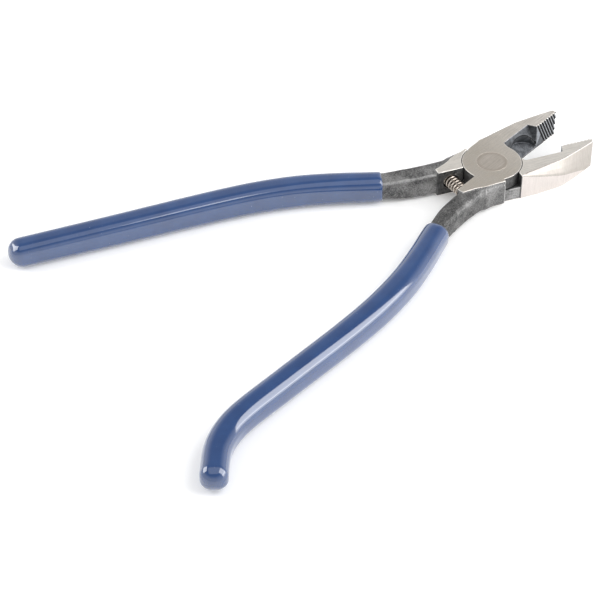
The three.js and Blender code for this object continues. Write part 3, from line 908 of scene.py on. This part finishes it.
def dip_finish():
    """Glossy dipped vinyl: even blue with faint clouds, an orange-peel skin and a few dust specks."""
    f = Finish("dipped_vinyl", Metallic=0.0, IOR=1.5, Coat_Weight=1.0, Coat_Roughness=0.05,
               Coat_IOR=1.8)
    cloud = f.noise(9.0, detail=3)
    peel = f.noise(2.6, detail=1)
    specks = f.noise(0.9, detail=2, roughness=0.8)
    shade = f.mix(f.ramp(cloud, 0.35, 0.65), (0.008, 0.042, 0.150), (0.012, 0.054, 0.180))
    shade = f.mix(f.ramp(specks, 0.70, 0.76, 0.0, 0.5), shade, (0.16, 0.22, 0.40))
    f.feed("Base Color", shade)
    f.feed("Roughness", f.ramp(f.maths("ADD", cloud, specks), 0.8, 1.25, 0.10, 0.20))
    f.bump(peel, 0.015)
    return f.material


# ---- light, floor and camera --------------------------------------------------------------------

CAMERA_AT = (-0.4260, -0.4836, 0.5063)
CAMERA_LOOKS = (0.4274, 0.6150, -0.6626)
CAMERA_LENS = 126.0                  # on a 36 mm sensor
FOCUS = Vector((-0.07, 0.0, 0.0))    # middle of the object

# name, direction from FOCUS, distance, width, height in metres, watts
LAMPS = [
    ("right_softbox", (0.51, -0.51, 0.69), 1.1, 0.85, 1.05, 9.5),
    ("right_fill", (0.68, -0.69, 0.25), 1.1, 0.85, 0.40, 2.2),
    ("left_softbox", (-0.55, 0.60, 0.57), 1.1, 0.75, 0.70, 6.0),
    ("overhead", (-0.05, -0.1, 1.0), 1.5, 1.4, 1.4, 3.6),
]
# The room's light by the sine of the height above the horizon: a white sweep under a dim ceiling.
ROOM = [(0.0, 0.95), (0.34, 0.95), (0.60, 0.52), (0.70, 0.28), (1.0, 0.28)]
FLOOR_REACH = 4.0
FLOOR_DROP = 0.0001                  # the floor is just under the pliers


def camera_on(scene):
    camera = bpy.data.objects.new("camera", bpy.data.cameras.new("camera"))
    camera.data.lens = CAMERA_LENS
    camera.data.sensor_width = 36
    camera.data.clip_start, camera.data.clip_end = 0.01, 50
    camera.location = CAMERA_AT
    camera.rotation_mode = "QUATERNION"
    camera.rotation_quaternion = Vector(CAMERA_LOOKS).to_track_quat("-Z", "Y")
    scene.collection.objects.link(camera)
    scene.camera = camera


def lamps_in(scene):
    for name, direction, distance, width, height, power in LAMPS:
        data = bpy.data.lights.new(name, "AREA")
        data.shape = "RECTANGLE"
        data.size, data.size_y, data.energy = width, height, power
        lamp = bpy.data.objects.new(name, data)
        toward = Vector(direction).normalized()
        lamp.location = FOCUS + toward * distance
        lamp.rotation_mode = "QUATERNION"
        lamp.rotation_quaternion = (-toward).to_track_quat("-Z", "Y")
        scene.collection.objects.link(lamp)


def room_round(scene):
    world = bpy.data.worlds.new("studio")
    world.use_nodes = True
    nodes, links = world.node_tree.nodes, world.node_tree.links
    parts = nodes.new("ShaderNodeSeparateXYZ")
    links.new(nodes.new("ShaderNodeTexCoord").outputs["Generated"], parts.inputs["Vector"])
    ramp = nodes.new("ShaderNodeValToRGB")
    while len(ramp.color_ramp.elements) < len(ROOM):
        ramp.color_ramp.elements.new(0.5)
    for element, (height, light) in zip(ramp.color_ramp.elements, ROOM):
        element.position = height
        element.color = (*grey(light), 1)
    links.new(parts.outputs["Z"], ramp.inputs["Fac"])
    links.new(ramp.outputs["Color"], nodes["Background"].inputs["Color"])
    scene.world = world


def floor_under(scene):
    finish = Finish("floor_paper", Roughness=0.9, Emission_Color=(*grey(1.0), 1),
                    Emission_Strength=0.15)
    fibre = finish.noise(4.0, detail=4)
    finish.feed("Base Color", finish.mix(fibre, grey(0.90), grey(0.93)))
    corners = [(FLOOR_REACH * u, FLOOR_REACH * v, -FLOOR_DROP)
               for u, v in ((-1, -1), (1, -1), (1, 1), (-1, 1))]
    mesh = bpy.data.meshes.new("floor")
    mesh.from_pydata(corners, [], [(0, 1, 2, 3)])
    mesh.materials.append(finish.material)
    floor = bpy.data.objects.new("floor", mesh)
    scene.collection.objects.link(floor)


def studio():
    scene = bpy.context.scene
    scene.view_settings.view_transform = "Standard"
    scene.view_settings.look = "None"
    camera_on(scene)
    lamps_in(scene)
    room_round(scene)
    floor_under(scene)


# ---- the pliers ---------------------------------------------------------------------------------

def main():
    # lap: the faces between the parts and inside the sockets, painted dark as shade.
    lap, dip = lap_finish(), dip_finish()
    cutter = cutter_finish("blued_cutter", 0.06, 0.18, 0.6)
    # Near black: painted shade in the knife pocket's undercut and in the teeth's grooves.
    pocket = cutter_finish("pocket_painted_shade", 0.005, 0.015, 0.05)
    # Bright lands on the teeth and the notch's corner: partly rubbed metal, partly painted highlight.
    ridge = cutter_finish("bright_lands_rubbed_and_highlit", 0.28, 0.42, 0.6)
    for half in (HOOK, STRAIGHT):
        turn = -half.side * HALF_OPEN
        forged = forged_finish(half.name + "_forging_skin", *half.skin)
        ground = ground_finish(half.name + "_ground_face", turn, *half.steel, GROUND_ROUGHNESS)
        side = ground_finish(half.name + "_ground_side", turn, SIDE_STEEL, SIDE_STEEL, 0.42,
                             (1, 1, 12), marks=0.35)
        facet = ground_finish(half.name + "_ground_facet", turn, FACET_STEEL, FACET_STEEL, 0.50,
                              (1, 8, 8), marks=0.45)
        line = HandleLine(half.stations)
        forged_half(half, line, [forged, ground, side, facet, cutter, pocket, ridge, lap])
        grip(half, line, dip)
    rivet(rivet_finish())
    spring(spring_finish())
    studio()


main()
